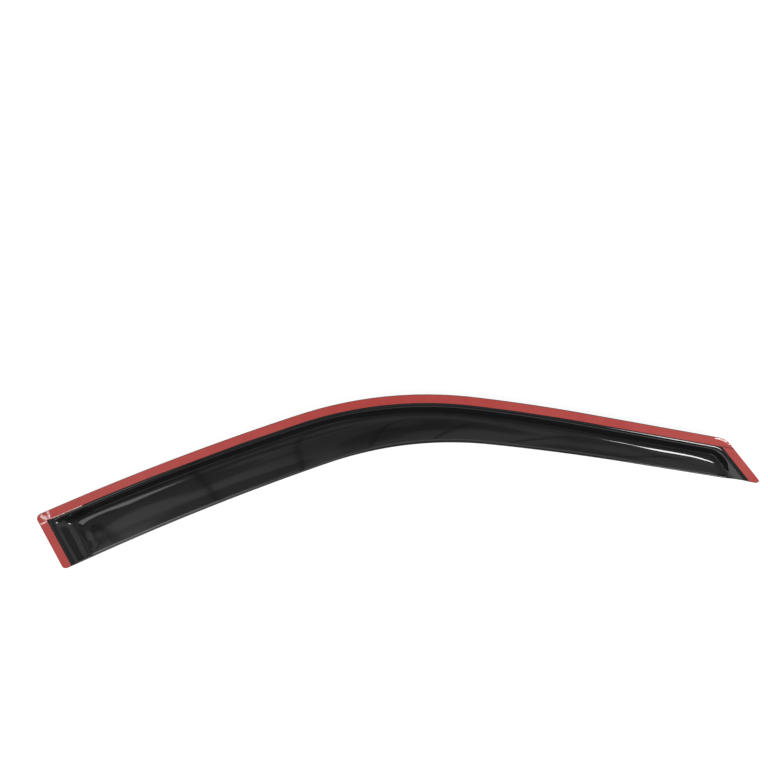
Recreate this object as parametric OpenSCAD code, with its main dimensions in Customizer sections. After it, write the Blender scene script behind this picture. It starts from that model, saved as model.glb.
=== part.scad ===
// Tape-on window rain deflector for a left front door, at its real size in millimetres.
// It lies on its outer face: +X to the front of the car, +Y to the roof, +Z to the door frame.
// The moulded visor is a lofted shell: a flat taping land along the top edge and both ends,
// a steep ramp out of the land, and a slightly bowed blade with a bead on its free edge.

/* [Outline] */
// Length of the rear edge
rear_cut_length = 74.6; // [60:0.1:90]
// Direction of the rear edge, seen from its lower corner, in degrees
rear_cut_angle = 112.9; // [100:0.1:125]
// Slope of the slanted front edge, in degrees
front_cut_angle = 59.4; // [50:0.1:70]
// Heading of the top edge at the rear corner, in degrees
top_heading = 16.9; // [12:0.1:22]
// Heading of the free edge at the rear corner, in degrees
free_heading = 17.7; // [12:0.1:22]
// Radius of the long rear curve of both edges
rear_curve_r = 3450; // [2500:10:6000]
// Turn of the long rear curve, in degrees
rear_curve_turn = 5.7; // [3:0.1:7]
// Radius of the crown on the top edge
top_crown_r = 506; // [450:1:560]
// Radius of the crown on the free edge
free_crown_r = 474; // [430:1:520]
// Turn of the crown, in degrees
crown_turn = 24.8; // [18:0.1:30]
// Radius of the front curve on the top edge
top_front_r = 2250; // [2000:10:3200]
// Turn of the front curve on the top edge, in degrees
top_front_turn = 3.6; // [2.5:0.1:5]
// Radius of the front curve on the free edge
free_front_r = 3070; // [2400:10:3800]
// Turn of the front curve on the free edge, in degrees
free_front_turn = 3.3; // [2:0.1:4.5]
// Straight stretch of the free edge before the tip
free_straight = 157.5; // [120:0.5:200]

/* [Corners] */
// Radius of the rear corner at the top
rear_top_r = 6; // [3:0.5:8]
// Radius of the rear corner at the free edge
rear_low_r = 5; // [2:0.5:7]
// Radius of the front corner at the top
front_top_r = 22; // [10:1:28]
// Radius of the pointed tip
tip_r = 3; // [2:0.5:4]

/* [Section] */
// Thickness of the moulded sheet
sheet_t = 2.6; // [2:0.1:2.8]
// Width of the flat taping land
land_w = 11.2; // [11:0.1:14]
// Depth of the pocket, from the land to the lowest line of the blade
pocket_depth = 19; // [15:0.5:24]
// Width of the ramp along the top
top_ramp_run = 17; // [15:0.5:18]
// Width of the ramp at the rear end
rear_ramp_run = 22.5; // [16:0.5:32]
// Width of the ramp at the front end
front_ramp_run = 13; // [12.5:0.5:18]
// Inner radius of the bend from the land to the ramp
upper_bend_r = 5; // [4.5:0.1:6]
// Inner radius of the bend from the ramp to the blade
lower_bend_r = 9; // [6:0.1:10]
// Blend of the ramps where two of them meet, as a share of a ramp
pocket_corner_blend = 0.5; // [0.2:0.05:0.8]
// Radius of the slight bow across the blade
blade_bow_r = 160; // [100:5:400]
// Distance of the lowest line of the blade from the free edge
belly_offset = 27; // [18:0.5:34]

/* [Free edge] */
// Width of the bead along the free edge
bead_w = 3.4; // [2:0.1:5]
// Height of the bead above the blade
bead_h = 0.5; // [0.2:0.1:1]
// Rounding of both rims of the free edge
edge_round = 0.7; // [0.3:0.1:0.9]

/* [Tape] */
// Width of the foam tape and its liner
tape_w = 10; // [8:0.1:10]
// Thickness of the foam tape
tape_t = 1; // [0.6:0.1:2]
// Thickness of the release liner
liner_t = 0.2; // [0.1:0.05:0.4]
// Distance of the tape from the rim of the land
tape_margin = 0.7; // [0.7:0.1:1]
// Gap where two lengths of tape butt together
butt_gap = 0.3; // [0.1:0.1:1]

/* [Hidden] */
SMOKE = [0.13, 0.13, 0.14];
FOAM = [0.32, 0.32, 0.33];
LINER_RED = [0.70, 0.28, 0.28];

// Numbers of steps that the curved surfaces are drawn with
CORNER_STEPS = 3;
BEND_STEPS = 4;
FOOT_STEPS = 5;
BLADE_STEPS = 6;
LENGTH_STEPS = 48;
STRIP_STEPS = 44;
ARC_STEPS = 8;

// Directions, and a point of an edge as [x, y, heading]; both long edges turn to the right
function unit(v) = v / norm(v);
function dir(a) = [cos(a), sin(a)];
function plan(pose) = [pose[0], pose[1]];
function lerp(a, b, f) = a + (b - a) * f;
function along_line(pose, s) = [pose[0] + s * cos(pose[2]), pose[1] + s * sin(pose[2]), pose[2]];
function along_curve(pose, r, s) =
    let (h = pose[2] - s / r * 180 / PI)
    [pose[0] + r * (sin(pose[2]) - sin(h)), pose[1] + r * (cos(h) - cos(pose[2])), h];
function curve_length(curve) = curve[0] * curve[1] * PI / 180;
function walk(pose, curves, s, i = 0) =
    i == len(curves) ? along_line(pose, s)
    : s <= curve_length(curves[i]) ? along_curve(pose, curves[i][0], s)
    : walk(
        along_curve(pose, curves[i][0], curve_length(curves[i])),
        curves, s - curve_length(curves[i]), i + 1
    );

// The free edge runs from the rear lower corner to the tip
free_curves = [
    [rear_curve_r, rear_curve_turn], [free_crown_r, crown_turn], [free_front_r, free_front_turn]
];
free_start = [0, 0, free_heading];
free_length =
    curve_length(free_curves[0]) + curve_length(free_curves[1]) + curve_length(free_curves[2])
    + free_straight;
tip = walk(free_start, free_curves, free_length);

// The top edge runs from the rear upper corner to the line of the front edge
top_curves = [
    [rear_curve_r, rear_curve_turn], [top_crown_r, crown_turn], [top_front_r, top_front_turn]
];
rear_up = dir(rear_cut_angle);
front_up = dir(180 - front_cut_angle);
top_start = [rear_cut_length * rear_up[0], rear_cut_length * rear_up[1], top_heading];
top_curved =
    curve_length(top_curves[0]) + curve_length(top_curves[1]) + curve_length(top_curves[2]);
top_straight_start = walk(top_start, top_curves, top_curved);
top_straight =
    cross(plan(tip) - plan(top_straight_start), front_up)
    / cross(dir(top_straight_start[2]), front_up);
top_length = top_curved + top_straight;
front_corner = walk(top_start, top_curves, top_length);

// Inside angles of the four corners
rear_top_angle = top_heading + 180 - rear_cut_angle;
rear_low_angle = rear_cut_angle - free_heading;
front_top_angle = 180 - front_cut_angle - front_corner[2];
tip_angle = front_cut_angle + tip[2];

// A corner as [sharp point, direction of its long edge, direction of its short edge, angle, radius]
rear_top = [plan(top_start), dir(top_heading), -rear_up, rear_top_angle, rear_top_r];
rear_low = [plan(free_start), dir(free_heading), rear_up, rear_low_angle, rear_low_r];
front_top = [plan(front_corner), -dir(front_corner[2]), -front_up, front_top_angle, front_top_r];
front_tip = [plan(tip), -dir(tip[2]), front_up, tip_angle, tip_r];

// A point that lies a from the short edge and w from the long edge of a corner
function corner_point(corner, a, w) =
    corner[0] + (corner[1] * a + corner[2] * w) / sin(corner[3]);
function corner_centre(corner) =
    corner[0] + unit(corner[1] + corner[2]) * corner[4] / sin(corner[3] / 2);
function corner_reach(corner) = corner[4] / tan(corner[3] / 2);

// Pulls a point of the square corner patch onto rings that end in the round corner
function rounded(corner, p, q) =
    let (
        reach = corner_reach(corner),
        heart = corner[0] + reach * (corner[1] + corner[2]),
        centre = corner_centre(corner),
        near = min(p, q),
        share = (max(p, q) - near) / (reach - near),
        half = 90 - corner[3] / 2,
        middle = unit(corner[0] - centre),
        end = unit(corner[0] + reach * (p > q ? corner[1] : corner[2]) - centre),
        spoke = (sin((1 - share) * half) * middle + sin(share * half) * end) / sin(half),
        rim = centre + corner[4] * spoke
    )
    heart + (1 - near / reach) * (rim - heart);
function in_corner(corner, p, q) = p < corner_reach(corner) && q < corner_reach(corner);

// Section of the ramp: an arc out of the land, a straight slope and an arc into the blade
bends_r = upper_bend_r + lower_bend_r;
slope_length = sqrt(pow(top_ramp_run, 2) + pow(pocket_depth - bends_r, 2) - pow(bends_r, 2));
ramp_angle = atan2(pocket_depth - bends_r, top_ramp_run) + atan2(bends_r, slope_length);
upper_bend_run = upper_bend_r * sin(ramp_angle);
lower_bend_run = lower_bend_r * sin(ramp_angle);
function ramp_drop(w) =
    w <= 0 ? 0
    : w >= top_ramp_run ? pocket_depth
    : w < upper_bend_run ? upper_bend_r - sqrt(pow(upper_bend_r, 2) - pow(w, 2))
    : w > top_ramp_run - lower_bend_run
        ? pocket_depth - lower_bend_r + sqrt(pow(lower_bend_r, 2) - pow(top_ramp_run - w, 2))
    : upper_bend_r * (1 - cos(ramp_angle)) + (w - upper_bend_run) * tan(ramp_angle);
ramp_shares = concat(
    [for (k = [1:BEND_STEPS]) upper_bend_r * sin(ramp_angle * k / BEND_STEPS) / top_ramp_run],
    [
        for (k = [0:FOOT_STEPS])
            1 - lower_bend_r * sin(ramp_angle * (1 - k / FOOT_STEPS)) / top_ramp_run
    ]
);

// Smooth least of two numbers, which rounds the valley where two ramps meet
function soft_min(a, b) =
    min(a, b)
    - pow(max(0, 1 - abs(a - b) / pocket_corner_blend), 2) * pocket_corner_blend / 4;

// Height of the inner face at a point with the given distances from the four edges
land_z = sheet_t + pocket_depth;
rear_inward = dir(rear_cut_angle - 90);
front_outward = dir(90 - front_cut_angle);
function ramp_share(from_top, from_rear, from_front) =
    let (
        top = (from_top - land_w) / top_ramp_run,
        rear = (from_rear - land_w) / rear_ramp_run,
        front = (from_front - land_w) / front_ramp_run
    )
    ramp_drop(top_ramp_run * soft_min(soft_min(top, rear), front)) / pocket_depth;
function bow_rise(from_free) =
    blade_bow_r - sqrt(pow(blade_bow_r, 2) - pow(from_free - belly_offset, 2));
function bead_rise(from_free) =
    from_free >= bead_w ? 0 : bead_h * (1 - pow(2 * from_free / bead_w - 1, 2));

// Distances of the grid lines from each edge
function edge_marks(reach, run) = concat(
    [for (k = [0:CORNER_STEPS]) reach * k / CORNER_STEPS],
    [land_w],
    [for (share = ramp_shares) land_w + run * share]
);
function across_reach(corner) = corner_reach(corner) * sin(corner[3]);
rear_marks = edge_marks(across_reach(rear_top), rear_ramp_run);
front_marks = edge_marks(across_reach(front_top), front_ramp_run);
top_marks = edge_marks(across_reach(rear_top), top_ramp_run);
free_marks = [
    max(across_reach(front_tip), bead_w + edge_round), bead_w, 0.7 * bead_w, 0.4 * bead_w,
    edge_round, 0
];

// A column runs across the visor, from one place on the top edge to one on the free edge
function column_from_rear(a) = [a / sin(rear_top_angle), a / sin(rear_low_angle)];
function column_from_front(a) =
    [top_length - a / sin(front_top_angle), free_length - a / sin(tip_angle)];
last_mark = len(rear_marks) - 1;
columns = concat(
    [for (a = rear_marks) column_from_rear(a)],
    [
        for (k = [1:LENGTH_STEPS - 1])
            lerp(
                column_from_rear(rear_marks[last_mark]),
                column_from_front(front_marks[last_mark]),
                k / LENGTH_STEPS
            )
    ],
    [for (k = [last_mark:-1:0]) column_from_front(front_marks[k])]
);

// Points of one column, as [point of the inner face without the bead, distance from the free edge,
// share of the ramp]
function grid_point(column, start, line, t, from_top, from_free) =
    let (
        width = norm(line),
        straight = start + unit(line) * t,
        share = ramp_share(
            from_top,
            (straight - plan(top_start)) * rear_inward,
            (plan(tip) - straight) * front_outward
        ),
        flat =
            in_corner(rear_top, column[0], t) ? rounded(rear_top, column[0], t)
            : in_corner(rear_low, column[1], width - t) ? rounded(rear_low, column[1], width - t)
            : in_corner(front_top, top_length - column[0], t)
                ? rounded(front_top, top_length - column[0], t)
            : in_corner(front_tip, free_length - column[1], width - t)
                ? rounded(front_tip, free_length - column[1], width - t)
            : straight
    )
    [
        [flat[0], flat[1], land_z - share * (pocket_depth - bow_rise(from_free))],
        from_free, share
    ];
function column_points(column) =
    let (
        upper = walk(top_start, top_curves, column[0]),
        lower = walk(free_start, free_curves, column[1]),
        line = plan(lower) - plan(upper),
        width = norm(line),
        top_sine = abs(cross(dir(upper[2]), line)) / width,
        free_sine = abs(cross(dir(lower[2]), line)) / width,
        ramp_end = top_marks[len(top_marks) - 1] / top_sine,
        bead_start = width - free_marks[0] / free_sine,
        places = concat(
            [for (w = top_marks) w / top_sine],
            [for (k = [1:BLADE_STEPS - 1]) lerp(ramp_end, bead_start, k / BLADE_STEPS)],
            [for (g = free_marks) width - g / free_sine]
        )
    )
    [
        for (t = places)
            grid_point(column, plan(upper), line, t, t * top_sine, (width - t) * free_sine)
    ];
grid = [for (column = columns) column_points(column)];
COLUMNS = len(grid);
ROWS = len(grid[0]);

// Direction square to the inner face, from the neighbours of a grid point
function base(i, j) = grid[min(max(i, 0), COLUMNS - 1)][min(max(j, 0), ROWS - 1)][0];
function square_to(i, j) =
    unit(cross(base(i, j + 1) - base(i, j - 1), base(i + 1, j) - base(i - 1, j)));
function inner_point(i, j) =
    let (point = grid[i][j], rim = point[1] < edge_round / 2)
    point[0] + [0, 0, bead_rise(point[1]) * point[2]] - (rim ? edge_round : 0) * square_to(i, j);
function outer_point(i, j) =
    let (point = grid[i][j], rim = point[1] < edge_round / 2)
    point[0] - (sheet_t - (rim ? edge_round : 0)) * square_to(i, j);
inner_face = [for (i = [0:COLUMNS - 1]) for (j = [0:ROWS - 1]) inner_point(i, j)];
outer_face = [for (i = [0:COLUMNS - 1]) for (j = [0:ROWS - 1]) outer_point(i, j)];
function quad(a, b, c, d) = [[a, b, c], [a, c, d]];
function inner(i, j) = i * ROWS + j;
function outer(i, j) = COLUMNS * ROWS + i * ROWS + j;
shell_faces = concat(
    [
        for (i = [0:COLUMNS - 2]) for (j = [0:ROWS - 2])
            each quad(inner(i, j), inner(i + 1, j), inner(i + 1, j + 1), inner(i, j + 1))
    ],
    [
        for (i = [0:COLUMNS - 2]) for (j = [0:ROWS - 2])
            each quad(outer(i, j), outer(i, j + 1), outer(i + 1, j + 1), outer(i + 1, j))
    ],
    [
        for (i = [0:COLUMNS - 2])
            each quad(inner(i + 1, 0), inner(i, 0), outer(i, 0), outer(i + 1, 0))
    ],
    [
        for (i = [0:COLUMNS - 2])
            each quad(
                inner(i, ROWS - 1), inner(i + 1, ROWS - 1),
                outer(i + 1, ROWS - 1), outer(i, ROWS - 1)
            )
    ],
    [
        for (j = [0:ROWS - 2])
            each quad(inner(0, j), inner(0, j + 1), outer(0, j + 1), outer(0, j))
    ],
    [
        for (j = [0:ROWS - 2])
            each quad(
                inner(COLUMNS - 1, j + 1), inner(COLUMNS - 1, j),
                outer(COLUMNS - 1, j), outer(COLUMNS - 1, j + 1)
            )
    ]
);

// The origin is the middle of the visor's box, on the surface that it lies on
shell_x = [for (point = concat(inner_face, outer_face)) point[0]];
shell_y = [for (point = concat(inner_face, outer_face)) point[1]];
box_middle = [-(min(shell_x) + max(shell_x)) / 2, -(min(shell_y) + max(shell_y)) / 2, 0];

// Lengths of tape, as outlines on the land
tape_inner = tape_margin + tape_w;
butt_line = tape_inner + butt_gap;
function corner_arc(corner, from_angle, to_angle) = [
    for (k = [0:ARC_STEPS])
        corner_centre(corner)
        + (corner[4] - tape_margin) * dir(lerp(from_angle, to_angle, k / ARC_STEPS))
];
function foot(corner, a, w) = (a + w * cos(corner[3])) / sin(corner[3]);
function beside_top(w) =
    let (
        first = foot(rear_top, butt_line, w),
        last =
            w > tape_margin ? top_length - foot(front_top, tape_margin, w)
            : top_length - corner_reach(front_top)
    )
    [
        for (k = [1:STRIP_STEPS - 1])
            let (pose = walk(top_start, top_curves, lerp(first, last, k / STRIP_STEPS)))
            plan(pose) + w * dir(pose[2] - 90)
    ];
function reversed(list) = [for (k = [len(list) - 1:-1:0]) list[k]];
top_strip = concat(
    [corner_point(rear_top, butt_line, tape_margin)],
    beside_top(tape_margin),
    corner_arc(front_top, front_corner[2] + 90, 90 - front_cut_angle),
    [corner_point(front_top, tape_margin, tape_inner)],
    reversed(beside_top(tape_inner)),
    [corner_point(rear_top, butt_line, tape_inner)]
);
rear_strip = concat(
    corner_arc(rear_top, top_heading + 90, rear_cut_angle + 90),
    corner_arc(rear_low, rear_cut_angle + 90, free_heading + 270),
    [corner_point(rear_low, tape_inner, tape_margin), corner_point(rear_top, tape_inner, tape_margin)]
);
front_strip = concat(
    [corner_point(front_top, tape_margin, butt_line)],
    corner_arc(front_tip, 90 - front_cut_angle, tip[2] - 90),
    [corner_point(front_tip, tape_inner, tape_margin), corner_point(front_top, tape_inner, butt_line)]
);

module visor() {
    color(SMOKE)
        translate(box_middle)
            polyhedron(points = concat(inner_face, outer_face), faces = shell_faces, convexity = 6);
}

module strip(outline, z, thickness) {
    translate(box_middle + [0, 0, z])
        linear_extrude(thickness)
            polygon(outline);
}

module tape(outline) {
    color(FOAM)
        strip(outline, land_z, tape_t);
}

module liner(outline) {
    color(LINER_RED)
        strip(outline, land_z + tape_t, liner_t);
}

visor();
tape(top_strip);  // tape_top
tape(rear_strip);  // tape_rear_end
tape(front_strip);  // tape_front_end
liner(top_strip);  // liner_top
liner(rear_strip);  // liner_rear_end
liner(front_strip);  // liner_front_end
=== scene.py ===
"""Looks of a tape-on window rain deflector for a left front door, lying on its outer face."""
import math
import bmesh
import bpy
from mathutils import Matrix, Vector


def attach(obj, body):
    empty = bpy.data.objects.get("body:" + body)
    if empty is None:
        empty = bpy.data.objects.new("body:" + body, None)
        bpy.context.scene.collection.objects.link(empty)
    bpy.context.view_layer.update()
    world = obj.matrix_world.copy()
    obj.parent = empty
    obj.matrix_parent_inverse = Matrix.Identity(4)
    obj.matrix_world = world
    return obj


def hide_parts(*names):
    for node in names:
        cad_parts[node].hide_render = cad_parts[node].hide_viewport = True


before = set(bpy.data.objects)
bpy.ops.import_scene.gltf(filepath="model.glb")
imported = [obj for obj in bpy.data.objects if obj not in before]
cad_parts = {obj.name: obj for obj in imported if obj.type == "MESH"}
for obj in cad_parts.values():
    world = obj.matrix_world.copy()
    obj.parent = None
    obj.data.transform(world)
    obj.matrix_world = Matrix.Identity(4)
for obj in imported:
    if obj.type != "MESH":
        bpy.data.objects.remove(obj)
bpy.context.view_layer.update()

# Lengths and places are in metres
MM = 0.001
WHITE = (1.0, 1.0, 1.0, 1.0)

# The camera stands over the part, a little towards its free edge
LOOK_AT = Vector((-0.0003, 0.0969, 0.0))
CAMERA_DISTANCE = 0.78
CAMERA_ELEVATION = math.radians(86.7)
CAMERA_TURN = math.radians(-7.0)
CAMERA_REACH = 50.0
LENS = 28.79
SENSOR_WIDTH = 36.0

# The rounding of the visor's rims and of the film's cut edges
RIM_ROUNDING = 0.35 * MM
FILM_EDGE_ROUNDING = 0.05 * MM

# Points closer than this are one point
MERGE_DISTANCE = 1e-6

# Angles: triangles that join into a quad, rims of the visor, flat film, its cut edges, its shading
QUAD_FACE_ANGLE = math.radians(70.0)
QUAD_SHAPE_ANGLE = math.radians(130.0)
RIM_ANGLE = math.radians(40.0)
FLAT_ANGLE = math.radians(1.0)
CUT_EDGE_ANGLE = math.radians(60.0)
FILM_SHADING_ANGLE = math.radians(32.0)

# How often the visor's faces are split for a smooth surface
SMOOTH_LEVELS = 2

# Steps along the free edge, in the coarse mesh and in the smooth one
COARSE_STEP = 16.0 * MM
EDGE_STEP = 4.0 * MM

# The fold at the ramps' foot: how its faces turn up, its top, and its distance from the free edge
FOLD_TURN = (0.35, 0.995)
FOLD_TOP = 9.0 * MM
FOLD_MARGIN = 12.0 * MM

# How far and how often the fold is softened
FOLD_SOFTENING = 0.5
FOLD_EASING = 5

# Where the fold swells and by how much, how far around it, and how the swollen faces turn up
SWELLS = (((0.30, 0.395), 0.6 * MM), ((-0.36, -0.22), 0.2 * MM))
SWELL_REACH = 9.0 * MM
SWELL_TURN = (0.85, 0.985)
WHOLE_LENGTH = (-math.inf, math.inf)

# The painted highlight along the free edge, a pale line that stands for the reflection on the bead: its
# ends, where it moves inwards, its distance from the edge, and the distance that hides it
RIM_ENDS = (-0.398, 0.402)
RIM_SHIFT = (-0.090, 0.0)
RIM_LINE = (1.8 * MM, 3.7 * MM)
RIM_HIDDEN = 1.0

# Where the film is cut small for its creases: low corner and high corner
CREASED_ZONES = {
    "liner_top": (((-0.434, -0.026), (-0.380, 0.006)), ((0.386, -0.040), (0.417, -0.014))),
    "liner_rear_end": (((-0.442, -0.030), (-0.416, -0.008)),),
    "liner_front_end": (((0.398, -0.042), (0.420, -0.028)),),
}
CREASE_STEP = 0.5 * MM

# Creases at the rear corner, each with its ends and how far it reaches to the sides, and their folds
CORNER_CREASES = (
    ((-0.4266, -0.0078), (-0.4240, -0.0172), 2.0 * MM),
    ((-0.4330, -0.0140), (-0.4288, -0.0172), 3.4 * MM),
    ((-0.4352, -0.0232), (-0.4290, -0.0212), 1.3 * MM),
    ((-0.4236, -0.0212), (-0.4213, -0.0184), 1.8 * MM),
    ((-0.4235, -0.0187), (-0.3835, -0.0070), 0.9 * MM),
)
CREASE_CELL = 3.0 * MM
CREASE_LIFT = 0.66 * MM

# The lifted border at the film's front corner
CORNER_BORDER = (
    ((0.3950, -0.0189), (0.4020, -0.0211), 2.3 * MM),
    ((0.4020, -0.0211), (0.4085, -0.0254), 2.3 * MM),
    ((0.4085, -0.0254), (0.4110, -0.0283), 2.3 * MM),
)
CORNER_LIFT = 0.50 * MM

# Bent stretches of the film's border: ends, how near the points lie, their move, how far around them
BORDER_BENDS = (
    ((-0.4243, -0.0200), (-0.4215, -0.0186), 1.0 * MM, (0.0009, -0.0012, 0.0001), 1.6 * MM),
    ((-0.4240, -0.0180), (-0.3838, -0.0062), 0.6 * MM, (0.0002, -0.0007, -0.0002), 1.4 * MM),
    ((0.4020, -0.0318), (0.4157, -0.0361), 0.5 * MM, (0.0001, 0.0005, 0.0002), 0.9 * MM),
)

# Colours: the two tones between which each surface drifts, what lies on it, and the foam's cell scale
ACRYLIC_TONES = ((0.0060, 0.0060, 0.0066, 1.0), (0.0100, 0.0100, 0.0108, 1.0))
ACRYLIC_DUST = (0.10, 0.10, 0.10, 1.0)
# A pale grey painted into the acrylic along the free edge: a painted highlight for the bead's reflection
RIM_HIGHLIGHT_TONE = (0.12, 0.12, 0.12, 1.0)
FILM_TONES = ((0.36, 0.040, 0.034, 1.0), (0.43, 0.060, 0.053, 1.0))
FILM_DUST = (0.62, 0.24, 0.22, 1.0)
# Pale crease lines painted into the film: partly the film's own whitening where it was creased, partly
# painted glints
CREASE_WHITENING_AND_GLINT_TONE = (0.85, 0.60, 0.58, 1.0)
FOAM_TONES = ((0.035, 0.035, 0.038, 1.0), (0.085, 0.085, 0.09, 1.0))
FOAM_CELLS = 3200.0

# Roughness over the clouds of each surface, and what a scratch adds
CLOUDS = (0.3, 0.7)
ACRYLIC_ROUGHNESS = (0.03, 0.07)
SCRATCH_ROUGHNESS = 0.14
FILM_ROUGHNESS = (0.15, 0.24)
FOAM_ROUGHNESS = 0.9
ACRYLIC_IOR = 1.49
FILM_IOR = 1.55

# The painted highlight's soft half width, and its painted brightness from the rear to the front
RIM_FADE = (0.2 * MM, 1.3 * MM)
RIM_HIGHLIGHT_CHANGE = ((-0.35, 0.15), (0.44, 0.24))

# Creases in the film's material, painted pale as whitened film and as painted glints: their wander, their
# size, and how they fade
CREASE_SCALE = 260.0
CREASE_WANDER = (0.006, 0.006, 0.006)
CREASE_RIDGE = ((0.0, 0.30), (1.0, 0.15))
CREASE_START = (0.05, 0.60)

# Fades of a mask, and the edges of specks and of the gaps in a scratch
FADE_IN = (0.0, 1.0)
FADE_OUT = (1.0, 0.0)
SPECK_EDGE = (0.04, 0.14)
SCRATCH_STRETCH = (0.12, 1.0, 1.0)
SCRATCH_WANDER = (0.004, 0.004, 0.004)
SCRATCH_GAPS = (0.52, 0.62)

# The floor's size, its own tone, and the light that makes it show as white
FLOOR_SIZE = 16.0
FLOOR_TONE = 0.35
FLOOR_GLOW = 0.80

# Light of the room by height above the horizon: wall, upper wall, ceiling, over the camera
ROOM_LIGHT = ((0.05, 0.26), (0.55, 0.35), (0.88, 0.70), (0.975, 0.54), (0.997, 0.26))

# The ceiling's dark beams, and its darker patches
BEAM_SPACING = 0.15
BEAM_SLANT = 0.23
BEAM_EDGE = ((0.02, 0.05), (0.3, 1.0))
PATCH_SCALE = 5.0
PATCH_EDGE = ((0.40, 0.50), (0.45, 1.0))

# How the room's light changes to the free edge's side, to the rear, and to both end walls
NEAR_SIDE = ((-0.50, -0.08), (0.62, 1.0))
REAR_SIDE = ((-0.45, -0.12), (1.5, 1.0))
END_WALLS = ((0.50, 0.85), (0.0, 0.60))

# Lamps: name, place, aim, width and length, power
LAMPS = (
    ("front_softbox", (1.20, -1.19, 1.78), (0.40, -0.05, 0.0), (0.43, 1.05), 34.0),
    ("rear_softbox", (-1.10, -1.30, 1.62), (-0.36, -0.02, 0.0), (0.35, 1.15), 2.7),
    ("back_fill", (-1.75, 1.35, 1.25), (-0.3, 0.0, 0.0), (1.6, 1.2), 20.0),
)


def camera():
    data = bpy.data.cameras.new("camera")
    data.lens = LENS
    data.sensor_width = SENSOR_WIDTH
    data.clip_end = CAMERA_REACH
    eye = bpy.data.objects.new("camera", data)
    bpy.context.scene.collection.objects.link(eye)
    tilt = math.pi / 2 - CAMERA_ELEVATION
    back = Vector((0.0, -math.sin(tilt), math.cos(tilt)))
    back.rotate(Matrix.Rotation(CAMERA_TURN, 3, "Z"))
    eye.location = LOOK_AT + back * CAMERA_DISTANCE
    eye.rotation_euler = (tilt, 0.0, CAMERA_TURN)
    bpy.context.scene.camera = eye


# Selecting by hand
def deselect_all():
    if bpy.context.object and bpy.context.object.mode != "OBJECT":
        bpy.ops.object.mode_set(mode="OBJECT")
    bpy.ops.object.select_all(action="DESELECT")


def take(piece):
    deselect_all()
    piece.select_set(True)
    bpy.context.view_layer.objects.active = piece


# A free copy of a CAD node, with its doubled points joined
def copy_of(node, name):
    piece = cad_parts[node].copy()
    piece.data = piece.data.copy()
    piece.name = name
    piece.data.name = name
    piece.data.materials.clear()
    piece.parent = None
    piece.hide_render = False
    for key in list(piece.keys()):
        del piece[key]
    bpy.context.scene.collection.objects.link(piece)
    take(piece)
    bpy.ops.object.mode_set(mode="EDIT")
    bpy.ops.mesh.select_all(action="SELECT")
    bpy.ops.mesh.remove_doubles(threshold=MERGE_DISTANCE)
    bpy.ops.object.mode_set(mode="OBJECT")
    if piece.data.has_custom_normals:
        bpy.ops.mesh.customdata_custom_splitnormals_clear()
    return piece


def dress(piece, material):
    piece.data.materials.clear()
    piece.data.materials.append(material)


# A finished piece takes the place of its CAD node
def place(piece, node, material):
    dress(piece, material)
    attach(piece, "root")
    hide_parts(node)
    return piece


# Node helpers
def add(tree, kind, inputs=None, **settings):
    node = tree.nodes.new(kind)
    for key, value in settings.items():
        setattr(node, key, value)
    for key, value in (inputs or {}).items():
        if isinstance(value, bpy.types.NodeSocket):
            tree.links.new(value, node.inputs[key])
        else:
            node.inputs[key].default_value = value
    return node


def maths(tree, operation, *values):
    return add(tree, "ShaderNodeMath", dict(enumerate(values)), operation=operation).outputs[0]


def vectors(tree, operation, *values):
    return add(tree, "ShaderNodeVectorMath", dict(enumerate(values)), operation=operation).outputs[0]


# A value's change from one range to another
def mapped(tree, value, given, wanted):
    ends = {"From Min": given[0], "From Max": given[1], "To Min": wanted[0], "To Max": wanted[1]}
    return add(tree, "ShaderNodeMapRange", {"Value": value, **ends}).outputs["Result"]


def mixed(tree, share, first, second):
    colours = {"Factor": share, "A": first, "B": second}
    return add(tree, "ShaderNodeMix", colours, data_type="RGBA").outputs["Result"]


def noise(tree, spot, scale, detail):
    return add(tree, "ShaderNodeTexNoise", {"Vector": spot, "Scale": scale, "Detail": detail})


# Cells, by the distance to their middle or to their edge
def cells_in(tree, spot, scale, feature="F1"):
    return add(tree, "ShaderNodeTexVoronoi", {"Vector": spot, "Scale": scale}, feature=feature)


def bumped(tree, height, strength, distance, **below):
    values = {"Height": height, "Strength": strength, "Distance": distance, **below}
    return add(tree, "ShaderNodeBump", values).outputs["Normal"]


def object_place(tree):
    return add(tree, "ShaderNodeTexCoord").outputs["Object"]


def attribute(tree, name):
    return add(tree, "ShaderNodeAttribute", attribute_name=name).outputs["Fac"]


def new_group(name, inputs, outputs):
    group = bpy.data.node_groups.new(name, "ShaderNodeTree")
    for label, kind, value in inputs:
        socket = group.interface.new_socket(name=label, in_out="INPUT", socket_type=kind)
        socket.default_value = value
    for label, kind in outputs:
        group.interface.new_socket(name=label, in_out="OUTPUT", socket_type=kind)
    return group, group.nodes.new("NodeGroupInput"), group.nodes.new("NodeGroupOutput")


def new_material(name):
    material = bpy.data.materials.new(name)
    material.use_nodes = True
    tree = material.node_tree
    return material, tree, tree.nodes["Principled BSDF"]


# Shared effects
def specks_group():
    group, given, out = new_group(
        "specks",
        [("Scale", "NodeSocketFloat", 400.0), ("Amount", "NodeSocketFloat", 0.1)],
        [("Mask", "NodeSocketFloat")],
    )
    cells = cells_in(group, object_place(group), given.outputs["Scale"])
    near = mapped(group, cells.outputs["Distance"], SPECK_EDGE, FADE_OUT)
    chance = add(group, "ShaderNodeSeparateColor", {"Color": cells.outputs["Color"]})
    chosen = maths(group, "LESS_THAN", chance.outputs["Red"], given.outputs["Amount"])
    group.links.new(maths(group, "MULTIPLY", near, chosen), out.inputs["Mask"])
    return group


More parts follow.
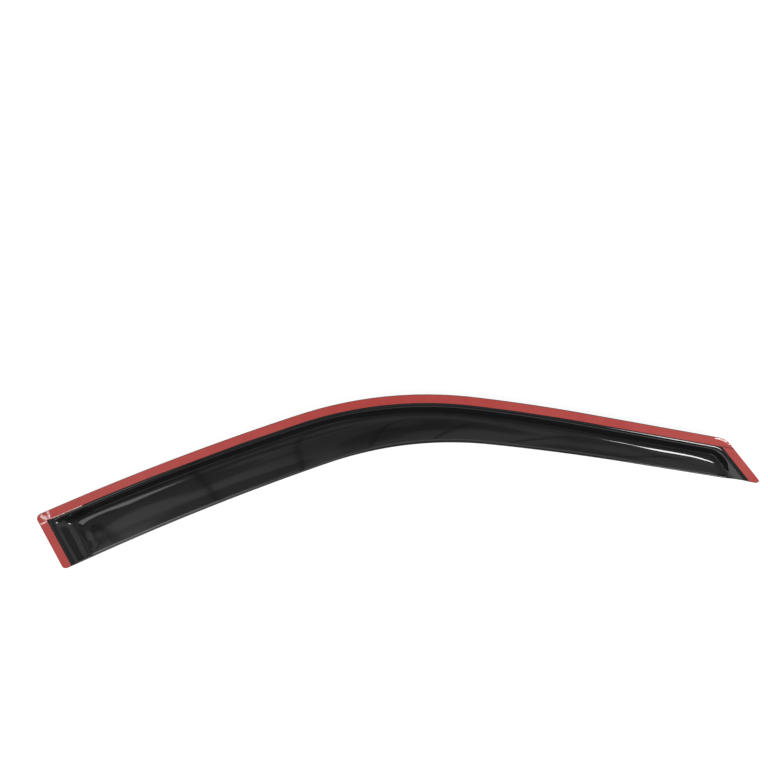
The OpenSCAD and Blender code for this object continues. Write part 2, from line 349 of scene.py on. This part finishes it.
def scratches_group():
    group, given, out = new_group(
        "scratches",
        [("Scale", "NodeSocketFloat", 60.0), ("Turn", "NodeSocketVector", (0.0, 0.0, 0.0)),
         ("Width", "NodeSocketFloat", 0.02)],
        [("Mask", "NodeSocketFloat")],
    )
    spot = object_place(group)
    turn = {"Vector": spot, "Rotation": given.outputs["Turn"], "Scale": SCRATCH_STRETCH}
    turned = add(group, "ShaderNodeMapping", turn).outputs[0]
    bent = noise(group, turned, scale=30.0, detail=1.0)
    moved = vectors(group, "MULTIPLY", bent.outputs["Color"], SCRATCH_WANDER)
    path = vectors(group, "ADD", turned, moved)
    lines = cells_in(group, path, given.outputs["Scale"], "DISTANCE_TO_EDGE")
    mask = mapped(group, lines.outputs["Distance"], (0.0, given.outputs["Width"]), FADE_OUT)
    broken = noise(group, spot, scale=55.0, detail=2.0)
    kept = mapped(group, broken.outputs["Fac"], SCRATCH_GAPS, FADE_IN)
    group.links.new(maths(group, "MULTIPLY", mask, kept), out.inputs["Mask"])
    return group


# Finishes
def smoked_acrylic(specks, scratches):
    material, tree, gloss = new_material("smoked_acrylic")
    spot = object_place(tree)
    haze = noise(tree, spot, scale=14.0, detail=4.0).outputs["Fac"]
    dust = add(tree, "ShaderNodeGroup", {"Scale": 420.0, "Amount": 0.06}, node_tree=specks)
    marked = {"Scale": 90.0, "Turn": (0.0, 0.0, 0.3), "Width": 0.012}
    marks = add(tree, "ShaderNodeGroup", marked, node_tree=scratches)
    tone = mixed(tree, haze, *ACRYLIC_TONES)
    dusty = mixed(tree, dust.outputs["Mask"], tone, ACRYLIC_DUST)
    # A painted highlight: a pale line mixed into the colour along the free edge, stronger at the rear,
    # standing for the bead's reflection
    off = maths(tree, "ABSOLUTE", attribute(tree, "rim_highlight_offset"))
    along = add(tree, "ShaderNodeSeparateXYZ", {"Vector": spot})
    strength = mapped(tree, along.outputs["X"], *RIM_HIGHLIGHT_CHANGE)
    painted_line = maths(tree, "MULTIPLY", mapped(tree, off, RIM_FADE, FADE_OUT), strength)
    tree.links.new(mixed(tree, painted_line, dusty, RIM_HIGHLIGHT_TONE), gloss.inputs["Base Color"])
    rough = mapped(tree, haze, CLOUDS, ACRYLIC_ROUGHNESS)
    rougher = maths(tree, "MULTIPLY_ADD", marks.outputs["Mask"], SCRATCH_ROUGHNESS, rough)
    tree.links.new(rougher, gloss.inputs["Roughness"])
    peel = noise(tree, spot, scale=110.0, detail=1.0).outputs["Fac"]
    skin = bumped(tree, peel, strength=0.25, distance=0.04 * MM)
    tree.links.new(skin, gloss.inputs["Normal"])
    gloss.inputs["IOR"].default_value = ACRYLIC_IOR
    return material


def liner_film(specks):
    material, tree, gloss = new_material("red_liner")
    spot = object_place(tree)
    cloud = noise(tree, spot, scale=45.0, detail=5.0).outputs["Fac"]
    dust = add(tree, "ShaderNodeGroup", {"Scale": 600.0, "Amount": 0.05}, node_tree=specks)
    dusty = mixed(tree, dust.outputs["Mask"], mixed(tree, cloud, *FILM_TONES), FILM_DUST)
    bent = noise(tree, spot, scale=CREASE_SCALE, detail=1.0)
    wander = vectors(tree, "MULTIPLY", bent.outputs["Color"], CREASE_WANDER)
    wandered = vectors(tree, "ADD", spot, wander)
    folds = cells_in(tree, wandered, CREASE_SCALE, "DISTANCE_TO_EDGE").outputs["Distance"]
    # The crease lines are painted pale: partly the film's own whitening, partly painted glints where light
    # would catch the folds
    strong = mapped(tree, attribute(tree, "creased"), CREASE_START, FADE_IN)
    whitening_and_glint = maths(tree, "MULTIPLY", mapped(tree, folds, *CREASE_RIDGE), strong)
    tree.links.new(mixed(tree, whitening_and_glint, dusty, CREASE_WHITENING_AND_GLINT_TONE), gloss.inputs["Base Color"])
    tree.links.new(mapped(tree, cloud, CLOUDS, FILM_ROUGHNESS), gloss.inputs["Roughness"])
    waves = noise(tree, spot, scale=90.0, detail=2.0).outputs["Fac"]
    wavy = bumped(tree, waves, strength=0.5, distance=0.4 * MM)
    crinkle = maths(tree, "MULTIPLY", folds, strong)
    crinkled = bumped(tree, crinkle, strength=1.0, distance=1.6 * MM, Normal=wavy)
    tree.links.new(crinkled, gloss.inputs["Normal"])
    gloss.inputs["IOR"].default_value = FILM_IOR
    return material


def foam():
    material, tree, matt = new_material("foam_tape")
    cells = cells_in(tree, object_place(tree), FOAM_CELLS).outputs["Distance"]
    tree.links.new(mixed(tree, cells, *FOAM_TONES), matt.inputs["Base Color"])
    skin = bumped(tree, cells, strength=0.8, distance=0.1 * MM)
    tree.links.new(skin, matt.inputs["Normal"])
    matt.inputs["Roughness"].default_value = FOAM_ROUGHNESS
    return material


# The free edge, as its lowest point in each short step along the part
def free_edge(points, step):
    lowest = {}
    for spot in points:
        place_x = round(spot.x / step)
        lowest[place_x] = min(lowest.get(place_x, 1.0), spot.y)
    return lowest


# How far a point lies from the free edge, square to it
def inside_edge(lowest, spot, step):
    before = math.floor(spot.x / step)
    near = lowest.get(before, spot.y)
    far = lowest.get(before + 1, near)
    edge_y = near + (far - near) * (spot.x / step - before)
    return (spot.y - edge_y) / math.hypot(1.0, (far - near) / step)


# Selects the points of the fold at the ramps' foot, on the inner face only
def select_fold(piece, turn, stretch):
    bpy.ops.mesh.select_all(action="DESELECT")
    mesh = bmesh.from_edit_mesh(piece.data)
    mesh.normal_update()
    lowest = free_edge([corner.co for corner in mesh.verts], COARSE_STEP)
    for corner in mesh.verts:
        folded = turn[0] < corner.normal.z < turn[1] and corner.co.z < FOLD_TOP
        within = stretch[0] < corner.co.x < stretch[1]
        inside = inside_edge(lowest, corner.co, COARSE_STEP)
        corner.select_set(folded and within and inside > FOLD_MARGIN)
    mesh.select_flush(True)
    bmesh.update_edit_mesh(piece.data)


# Moves the selected points, and those around them less and less
def pull(move, reach):
    bpy.ops.transform.translate(
        value=move, use_proportional_edit=True, proportional_edit_falloff="SMOOTH", proportional_size=reach,
    )


# Softens the whole fold, and raises it a little along two stretches, which shapes its highlights
def shape_folds(piece):
    select_fold(piece, FOLD_TURN, WHOLE_LENGTH)
    bpy.ops.mesh.vertices_smooth(factor=FOLD_SOFTENING, repeat=FOLD_EASING)
    for stretch, lift in SWELLS:
        select_fold(piece, SWELL_TURN, stretch)
        pull((0.0, 0.0, lift), SWELL_REACH)


# How far each point lies inside the painted highlight line along the free edge
def measure_rim_highlight(piece):
    lowest = free_edge([corner.co for corner in piece.data.vertices], EDGE_STEP)
    layer = piece.data.attributes.new("rim_highlight_offset", "FLOAT", "POINT")
    for corner in piece.data.vertices:
        x = corner.co.x
        share = min(1.0, max(0.0, (x - RIM_SHIFT[0]) / (RIM_SHIFT[1] - RIM_SHIFT[0])))
        painted_line = RIM_LINE[0] + (RIM_LINE[1] - RIM_LINE[0]) * share
        on_blade = RIM_ENDS[0] < x < RIM_ENDS[1]
        inside = inside_edge(lowest, corner.co, EDGE_STEP)
        layer.data[corner.index].value = inside - painted_line if on_blade else RIM_HIDDEN


# Rounds every edge that is sharper than an angle
def round_edges(angle, offset):
    bpy.ops.mesh.select_all(action="DESELECT")
    bpy.ops.mesh.edges_select_sharp(sharpness=angle)
    bpy.ops.mesh.bevel(offset=offset, segments=1, affect="EDGES", clamp_overlap=True)


# The moulded shell: the CAD shell with rounded rims and smooth surfaces
def visor(material):
    piece = copy_of("visor", "moulded_visor")
    bpy.ops.object.mode_set(mode="EDIT")
    bpy.ops.mesh.select_all(action="SELECT")
    bpy.ops.mesh.tris_convert_to_quads(face_threshold=QUAD_FACE_ANGLE, shape_threshold=QUAD_SHAPE_ANGLE)
    shape_folds(piece)
    round_edges(RIM_ANGLE, RIM_ROUNDING)
    bpy.ops.object.mode_set(mode="OBJECT")
    smooth = piece.modifiers.new("smooth", "SUBSURF")
    smooth.levels = SMOOTH_LEVELS
    smooth.render_levels = SMOOTH_LEVELS
    take(piece)
    bpy.ops.object.modifier_apply(modifier=smooth.name)
    bpy.ops.object.shade_smooth()
    measure_rim_highlight(piece)
    return place(piece, "visor", material)


# Small faces where the film is creased, cut along both axes
def cut_small(piece, low, high, step):
    take(piece)
    bpy.ops.object.mode_set(mode="EDIT")
    bpy.context.tool_settings.mesh_select_mode = (False, False, True)
    for axis in (0, 1):
        cuts = round((high[axis] - low[axis]) / step)
        for cut in range(cuts + 1):
            bpy.ops.mesh.select_all(action="DESELECT")
            mesh = bmesh.from_edit_mesh(piece.data)
            for face in mesh.faces:
                xs = [corner.co.x for corner in face.verts]
                ys = [corner.co.y for corner in face.verts]
                inside_x = max(xs) > low[0] and min(xs) < high[0]
                inside_y = max(ys) > low[1] and min(ys) < high[1]
                face.select_set(inside_x and inside_y)
            bmesh.update_edit_mesh(piece.data)
            spot = [0.0, 0.0, 0.0]
            way = [0.0, 0.0, 0.0]
            spot[axis] = low[axis] + cut * step
            way[axis] = 1.0
            bpy.ops.mesh.bisect(plane_co=spot, plane_no=way)
    bpy.context.tool_settings.mesh_select_mode = (True, False, False)
    bpy.ops.object.mode_set(mode="OBJECT")


# A line's run, and the way from its start to a point, both seen from above
def run_and_way(spot, start, end):
    run = Vector((end[0] - start[0], end[1] - start[1]))
    way = Vector((spot.x - start[0], spot.y - start[1]))
    return run, way


# How far a point lies from a line between two ends, seen from above
def from_line(spot, start, end):
    run, way = run_and_way(spot, start, end)
    along = min(1.0, max(0.0, way.dot(run) / run.length_squared))
    return (way - run * along).length


# How strongly each point of a film belongs to some lines, from 1 on a line to 0 at its reach
def shares_along(piece, lines):
    shares = {}
    for corner in piece.data.vertices:
        share = max(1.0 - from_line(corner.co, start, end) / reach for start, end, reach in lines)
        if share > 0.0:
            shares[corner.index] = share
    return shares


# Lifts the film along some lines, smoothly or, with a cell size, into small folds
def lift_film(piece, lines, lift, cell=None):
    zone = piece.vertex_groups.new(name="lifted")
    for index, share in shares_along(piece, lines).items():
        zone.add([index], share * share * (3.0 - 2.0 * share), "REPLACE")
    lifted = piece.modifiers.new("lifted", "DISPLACE")
    lifted.direction = "Z"
    lifted.mid_level = 0.0
    lifted.strength = lift
    lifted.vertex_group = zone.name
    if cell:
        folds = bpy.data.textures.new(piece.name + "_folds", "VORONOI")
        folds.noise_scale = cell
        lifted.texture = folds
        lifted.texture_coords = "LOCAL"
    take(piece)
    bpy.ops.object.modifier_apply(modifier=lifted.name)
    piece.vertex_groups.clear()


# Marks where the film is creased, for its material
def mark_creases(piece, lines):
    marks = piece.data.attributes.new("creased", "FLOAT", "POINT")
    for index, share in shares_along(piece, lines).items():
        marks.data[index].value = share


# Bends a stretch of the film's border, as a finger would
def bend_border(piece, start, end, near, move, reach):
    take(piece)
    bpy.ops.object.mode_set(mode="EDIT")
    bpy.ops.mesh.select_all(action="DESELECT")
    mesh = bmesh.from_edit_mesh(piece.data)
    for corner in mesh.verts:
        run, way = run_and_way(corner.co, start, end)
        along = way.dot(run) / run.length_squared
        aside = abs(way.x * run.y - way.y * run.x) / run.length
        corner.select_set(0.0 <= along <= 1.0 and aside < near)
    mesh.select_flush(True)
    bmesh.update_edit_mesh(piece.data)
    pull(move, reach)
    bpy.ops.object.mode_set(mode="OBJECT")


# The release liners: the CAD film with its cut edges rounded, creased where it was pressed down
def liner(node, name, material, creases=(), lifts=(), bends=()):
    piece = copy_of(node, name)
    bpy.ops.object.mode_set(mode="EDIT")
    bpy.ops.mesh.select_all(action="SELECT")
    bpy.ops.mesh.dissolve_limited(angle_limit=FLAT_ANGLE)
    round_edges(CUT_EDGE_ANGLE, FILM_EDGE_ROUNDING)
    bpy.ops.object.mode_set(mode="OBJECT")
    for low, high in CREASED_ZONES[node]:
        cut_small(piece, low, high, CREASE_STEP)
    for bend in bends:
        bend_border(piece, *bend)
    if creases:
        lift_film(piece, creases, CREASE_LIFT, CREASE_CELL)
        mark_creases(piece, creases)
    if lifts:
        lift_film(piece, lifts, CORNER_LIFT)
    take(piece)
    bpy.ops.object.shade_smooth_by_angle(angle=FILM_SHADING_ANGLE)
    return place(piece, node, material)


# A pale floor that shows as white, and keeps a soft shadow
def floor():
    deselect_all()
    bpy.ops.mesh.primitive_plane_add(size=FLOOR_SIZE, location=(0.0, 0.0, 0.0))
    plane = bpy.context.object
    plane.name = "floor"
    material = bpy.data.materials.new("floor_paper")
    material.use_nodes = True
    tree = material.node_tree
    tree.nodes.clear()
    paper = add(tree, "ShaderNodeBsdfDiffuse", {"Color": (FLOOR_TONE, FLOOR_TONE, FLOOR_TONE, 1.0)})
    path = add(tree, "ShaderNodeLightPath").outputs
    direct = maths(tree, "MAXIMUM", path["Is Camera Ray"], path["Is Glossy Ray"])
    seen = maths(tree, "MAXIMUM", direct, path["Is Transmission Ray"])
    glow = maths(tree, "MULTIPLY", seen, FLOOR_GLOW)
    white = add(tree, "ShaderNodeEmission", {"Color": WHITE, "Strength": glow})
    both = add(tree, "ShaderNodeAddShader", {0: paper.outputs[0], 1: white.outputs[0]})
    add(tree, "ShaderNodeOutputMaterial", {"Surface": both.outputs[0]})
    plane.data.materials.append(material)


def softbox(name, place_at, aim, size, power):
    data = bpy.data.lights.new(name, "AREA")
    data.shape = "RECTANGLE"
    data.size = size[0]
    data.size_y = size[1]
    data.energy = power
    light = bpy.data.objects.new(name, data)
    light.location = Vector(place_at)
    light.rotation_euler = (Vector(place_at) - Vector(aim)).to_track_quat("Z", "Y").to_euler()
    bpy.context.scene.collection.objects.link(light)


# The ceiling's shade: slanting dark beams, and darker patches
def ceiling_shade(tree, way, x, y):
    across = maths(tree, "DIVIDE", maths(tree, "MULTIPLY_ADD", y, BEAM_SLANT, x), BEAM_SPACING)
    nearest = maths(tree, "PINGPONG", across, 0.5)
    patches = noise(tree, way, scale=PATCH_SCALE, detail=1.0).outputs["Fac"]
    beam = mapped(tree, nearest, *BEAM_EDGE)
    return maths(tree, "MULTIPLY", beam, mapped(tree, patches, *PATCH_EDGE))


# The room: a grey ceiling with dark beams over the part, darker walls, white where the camera looks
def room():
    world = bpy.data.worlds.new("room")
    bpy.context.scene.world = world
    world.use_nodes = True
    tree = world.node_tree
    light = tree.nodes["Background"]
    out = tree.nodes["World Output"]
    way = add(tree, "ShaderNodeTexCoord").outputs["Generated"]
    split = add(tree, "ShaderNodeSeparateXYZ", {"Vector": way}).outputs
    level = add(tree, "ShaderNodeValToRGB", {"Fac": split["Z"]})
    stops = level.color_ramp.elements
    while len(stops) < len(ROOM_LIGHT):
        stops.new(0.5)
    for stop, (height, tone) in zip(stops, ROOM_LIGHT):
        stop.position = height
        stop.color = (tone, tone, tone, 1.0)
    shade = ceiling_shade(tree, way, split["X"], split["Y"])
    near_side = mapped(tree, split["Y"], *NEAR_SIDE)
    rear_side = mapped(tree, split["X"], *REAR_SIDE)
    dim = maths(tree, "MULTIPLY", shade, maths(tree, "MULTIPLY", rear_side, near_side))
    end_walls = mapped(tree, maths(tree, "ABSOLUTE", split["X"]), *END_WALLS)
    strength = maths(tree, "MULTIPLY_ADD", level.outputs[0], dim, end_walls)
    tree.links.new(strength, light.inputs["Strength"])
    light.inputs["Color"].default_value = WHITE
    backdrop = add(tree, "ShaderNodeBackground", {"Color": WHITE, "Strength": 1.0})
    to_camera = add(tree, "ShaderNodeLightPath").outputs["Is Camera Ray"]
    shown = add(tree, "ShaderNodeMixShader", {0: to_camera, 1: light.outputs[0], 2: backdrop.outputs[0]})
    tree.links.new(shown.outputs[0], out.inputs["Surface"])


def studio():
    room()
    for lamp in LAMPS:
        softbox(*lamp)
    bpy.context.scene.view_settings.view_transform = "Standard"


camera()
speck_marks = specks_group()
acrylic = smoked_acrylic(speck_marks, scratches_group())
red_film = liner_film(speck_marks)
tape_foam = foam()
visor(acrylic)
liner("liner_top", "liner_film_top", red_film, CORNER_CREASES, CORNER_BORDER, BORDER_BENDS)
liner("liner_rear_end", "liner_film_rear", red_film, CORNER_CREASES)
liner("liner_front_end", "liner_film_front", red_film)
for node in ("tape_top", "tape_rear_end", "tape_front_end"):
    dress(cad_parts[node], tape_foam)
floor()
studio()
